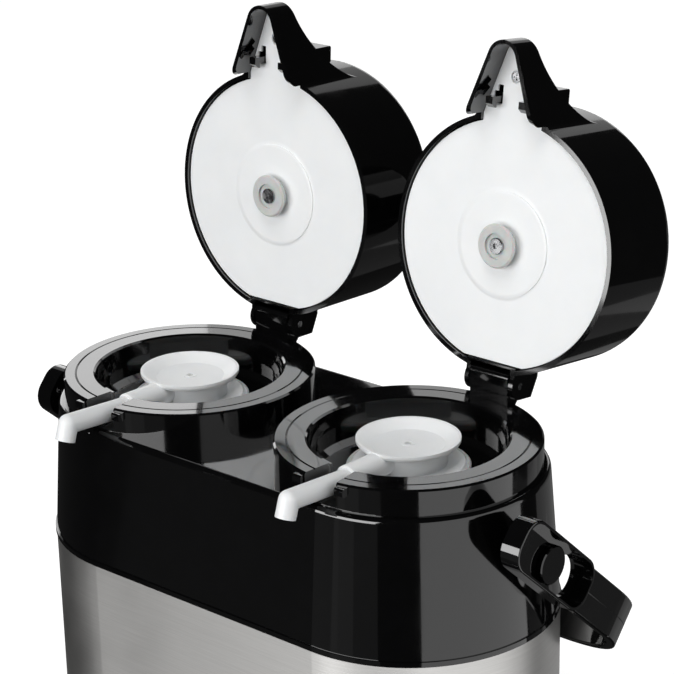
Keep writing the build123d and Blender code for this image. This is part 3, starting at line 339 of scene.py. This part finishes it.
# %% Silvered glass
def make_silvered_glass():
    finish, tree, shader, place = new_finish("silvered_blown_glass")
    cloud = add_node(tree, "TexNoise", Vector=place, Scale=blotches(30.0), Detail=4.0)
    tone = add_node(tree, "Mix", two_colours, Factor=cloud, A=linear("#c9cdd0"), B=linear("#e3e6e7"))
    gloss = add_node(tree, "MapRange", Value=cloud, To_Min=0.04, To_Max=0.12, **noise_middle)
    blown = add_node(tree, "TexNoise", Vector=place, Scale=blotches(40.0))
    wave = add_node(tree, "Bump", Height=blown, Strength=1.0, Distance=0.2 * mm)
    feed(shader, Base_Color=tone, Roughness=gloss, Normal=wave)
    feed(shader, Metallic=0.9, Coat_Weight=0.6)
    return finish


silvered_glass = make_silvered_glass()
print("made", silvered_glass.name)

# %% [markdown]
# ## Zinc-plated steel
#
# Screws, pins and springs are turned or drawn steel with a thin plating of zinc. The plating is bright, but it took
# unevenly, so patches of it are greyer and duller.


# %% Zinc-plated steel
def make_bright_steel():
    finish, tree, shader, place = new_finish("zinc_plated_steel")
    mottle = add_node(tree, "TexNoise", Vector=place, Scale=blotches(4.0), Detail=1.0)
    tone = add_node(tree, "Mix", two_colours, Factor=mottle, A=linear("#9c9d9f"), B=linear("#c9cacb"))
    gloss = add_node(tree, "MapRange", Value=mottle, To_Min=0.16, To_Max=0.32, **noise_middle)
    turning = add_node(tree, "TexNoise", Vector=place, Scale=blotches(1.2), Detail=1.0)
    marks = add_node(tree, "Bump", Height=turning, Strength=1.0, Distance=0.004 * mm)
    feed(shader, Base_Color=tone, Roughness=gloss, Normal=marks)
    feed(shader, Metallic=1.0)
    return finish


bright_steel = make_bright_steel()
print("made", bright_steel.name)

# %% [markdown]
# ## Finishes on the solids
#
# The record says which material slot each solid has. Each slot has one finish here, and every solid gets it in its
# own material slot, apart from the two plates, which get their own. The mesh itself is left as it is.

# %% Finishes on the solids
finish_of_slot = {
    "black_plastic": black_abs,
    "brushed_steel": brushed_steel,
    "white_plastic": white_polypropylene,
    "grey_rubber": grey_silicone,
    "black_rubber": black_rubber,
    "silvered_glass": silvered_glass,
    "plain_steel": bright_steel,
}
subparts = frame["record"]["subparts"]
for subpart in subparts:
    name, slot_name = subpart["node"], subpart["material_slot"]
    solid = nodes[name]
    solid.data.materials.clear()
    solid.data.materials.append(plate_finishes.get(name, finish_of_slot[slot_name]))
print("finished", len(subparts), "solids")

# %% [markdown]
# ## Bellows and pump springs
#
# Inside each lid, a rubber bellows is the air pump and a steel spring pushes its button back up. Both get shorter when
# the button goes down, which a rigid solid can't do. They could be drawn afresh, but a copy of the solid is already
# the right size. So each gets a copy, with the loose triangles merged into one skin, that rides on its lid. The copy
# keeps its length: nothing here flattens it as the button travels.

# %% Bellows and pump springs
merge_distance = 0.001 * mm
crease_angle = radians(35.0)


def make_soft_copy(node, body):
    """A merged, smooth-shaded copy of a solid that rides on a body."""
    bpy.ops.object.select_all(action="DESELECT")
    piece = bpy.data.objects.new(f"soft_{node}", nodes[node].data.copy())
    bpy.context.scene.collection.objects.link(piece)
    bpy.context.view_layer.objects.active = piece
    piece.select_set(True)
    bpy.ops.object.mode_set(mode="EDIT")
    bpy.ops.mesh.select_all(action="SELECT")
    bpy.ops.mesh.remove_doubles(threshold=merge_distance)
    bpy.ops.object.mode_set(mode="OBJECT")
    bpy.ops.mesh.customdata_custom_splitnormals_clear()
    bpy.ops.object.shade_smooth_by_angle(angle=crease_angle)
    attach(piece, body)
    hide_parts(node)
    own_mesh(piece)


for side in sides:
    make_soft_copy(f"bellows_{side}", f"lid_{side}")
    make_soft_copy(f"pump_spring_{side}", f"lid_{side}")

# %% [markdown]
# ## Floor
#
# One pale disc, wide enough that its edge never shows. Polished black plastic would mirror a white floor and turn
# grey, so the floor is hidden from reflections, as a black card would hide it in a studio. Some of the light panels
# stand below the floor's level, so it blocks no light, and it throws none up at the pot.
#
# The floor glows, so that it is white as far as the eye goes, but glows less right under the pot. That dimmer patch
# is a painted shadow, which sets the pot down on the floor.

# %% Floor
floor_radius = 30.0
shade_inner, shade_outer = 0.16, 0.36
painted_shadow_glow, full_glow = 0.72, 1.0
bpy.ops.mesh.primitive_circle_add(vertices=96, radius=floor_radius, fill_type="NGON")
floor = bpy.context.object
floor.name = "floor"
paint, paint_tree, paint_shader, floor_place = new_finish("pale_floor_paint")
# Painted shadow: the glow is dimmer near the pot's middle and full further out.
from_pot = add_node(paint_tree, "VectorMath", {"operation": "LENGTH"}, Vector=floor_place)
glow = add_node(
    paint_tree, "MapRange", Value=from_pot,
    From_Min=shade_inner, From_Max=shade_outer, To_Min=painted_shadow_glow, To_Max=full_glow,
)
feed(paint_shader, Base_Color=linear("#8a8a89"), Roughness=0.8)
feed(paint_shader, Emission_Color=linear("#ffffff"), Emission_Strength=glow)
floor.data.materials.append(paint)
floor.visible_glossy = False
floor.visible_diffuse = False
floor.visible_shadow = False
print("floor radius", floor_radius, "m")

# %% [markdown]
# ## Light
#
# Gloss on black is only the shape of the lights, so the pot is lit with large soft panels, and each has a job. One
# even sky would be simpler, but it would turn the black plastic grey all over.
#
# A panel is given by how bright its face is, because that is what a reflection shows, however large or far it is.


# %% A light panel
def add_panel(name, place, target, width, height, radiance):
    """A rectangular soft light at a place, turned to a target, whose face has a given brightness."""
    panel = bpy.data.lights.new(name, "AREA")
    panel.shape = "RECTANGLE"
    panel.size = width
    panel.size_y = height
    panel.energy = radiance * pi * width * height
    lamp = bpy.data.objects.new(name, panel)
    bpy.context.scene.collection.objects.link(lamp)
    lamp.location = place
    lamp.rotation_mode = "QUATERNION"
    lamp.rotation_quaternion = (Vector(target) - Vector(place)).to_track_quat("-Z", "Y")
    lamp.visible_camera = False
    return lamp


pot_middle = (0.0, 0.0, 0.28)
print("panels aim at", pot_middle)

# %% [markdown]
# The key stands in front, a little to the left, and lights the white plates evenly. The right panel draws the broad
# grey band down that end of the body. Opposite the camera, behind the pot, two panels side by side shine along the
# tops of the collars, the left one brighter, and a wide one above them edges the open lids. A very faint one, low
# behind, shows in the undersides of the rims.

# %% Main panels
main_panels = [  # name, place, target, width, height, radiance
    ("key_panel", (-0.35, -2.3, 0.75), pot_middle, 2.2, 1.5, 4.55),
    ("right_panel", (0.95, 0.02, 0.0), (0.0, 0.02, 0.0), 1.66, 1.8, 0.75),
    ("low_back_panel", (0.7, 1.5, -0.9), pot_middle, 1.3, 0.9, 0.04),
    ("back_left_panel", (-1.86, 0.97, 0.8), (-0.51, -0.48, 0.8), 1.2, 0.8, 1.65),
    ("back_right_panel", (-0.91, 1.86, 0.8), (0.44, 0.41, 0.8), 1.4, 0.8, 0.75),
    ("back_high_panel", (-1.35, 1.45, 1.6), (0.0, 0.0, 1.6), 2.6, 0.8, 0.3),
]
for row in main_panels:
    add_panel(*row)
print("main panels:", len(main_panels))

# %% [markdown]
# The dishes of the spouts look straight up, where black plastic must see nothing bright. A panel overhead lights them
# and is left out of reflections.

# %% Overhead fill
fill_panel = add_panel("fill_panel", (0.2, -0.6, 2.0), (0.1, -0.1, 0.3), 1.2, 1.2, 3.7)
fill_panel.visible_glossy = False
print("fill panel", round(fill_panel.data.size, 2), "m wide")

# %% [markdown]
# Steel mirrors far more than plastic, so the two can't share panels. A row of panels stands low round the front, from
# the left to the right end, and one more stands behind. Light linking gives this row to the steel band alone.

# %% The steel's row
low_target = (0.0, 0.0, 0.1)
row_height = 1.5
steel_row = [  # place, width, radiance
    ((-1.42, -1.11, -0.7), 1.0, 0.04),
    ((-0.8, -1.45, -0.7), 1.0, 0.62),
    ((-0.45, -1.5, -0.7), 0.9, 1.05),
    ((0.1, -1.5, -0.7), 1.0, 0.12),
    ((0.35, -1.5, -0.7), 0.8, 0.6),
    ((0.95, -1.2, -0.5), 0.8, 0.85),
    ((0.95, -0.2, 0.0), 1.3, 0.4),
    ((0.0, 2.0, -0.4), 1.8, 0.35),
]
steel_only = bpy.data.collections.new("lit_steel")
steel_only.objects.link(nodes["steel_shell"])
for place, width, radiance in steel_row:
    steel_panel = add_panel("steel_panel", place, low_target, width, row_height, radiance)
    steel_panel.light_linking.receiver_collection = steel_only
print("panels for the steel:", len(steel_row))

# %% [markdown]
# A second row stands in much the same places. It is far dimmer and lights everything, so that the black shoulder
# above the steel isn't one flat tone.

# %% The plastic's row
plastic_row = [  # place, width, radiance
    ((-0.8, -1.45, -0.7), 1.0, 0.02),
    ((-0.45, -1.5, -0.7), 1.0, 0.04),
    ((0.0, -1.5, -0.7), 1.1, 0.05),
    ((0.0, 2.0, -0.4), 1.8, 0.1),
]
for place, width, radiance in plastic_row:
    add_panel("plastic_panel", place, low_target, width, row_height, radiance)
print("panels for the plastic:", len(plastic_row))

# %% [markdown]
# The sky round the panels is dim for everything but the camera, which sees it as pale as the floor. The Standard view
# shows the colours as they are, with nothing pressed together at the bright end.

# %% World
sky_seen, sky_light = 1.0, 0.012
room = bpy.data.worlds.new("studio")
bpy.context.scene.world = room
room.use_nodes = True
room_tree = room.node_tree
room_tree.nodes.clear()
seen = add_node(room_tree, "Background", Color=linear("#ffffff"), Strength=sky_seen)
dim = add_node(room_tree, "Background", Color=linear("#ffffff"), Strength=sky_light)
from_camera = add_node(room_tree, "LightPath").outputs["Is Camera Ray"]
pick = add_node(room_tree, "MixShader", Fac=from_camera)
room_tree.links.new(dim.outputs[0], pick.inputs[1])
room_tree.links.new(seen.outputs[0], pick.inputs[2])
add_node(room_tree, "OutputWorld", Surface=pick)
bpy.context.scene.view_settings.view_transform = "Standard"
print("world", room.name)
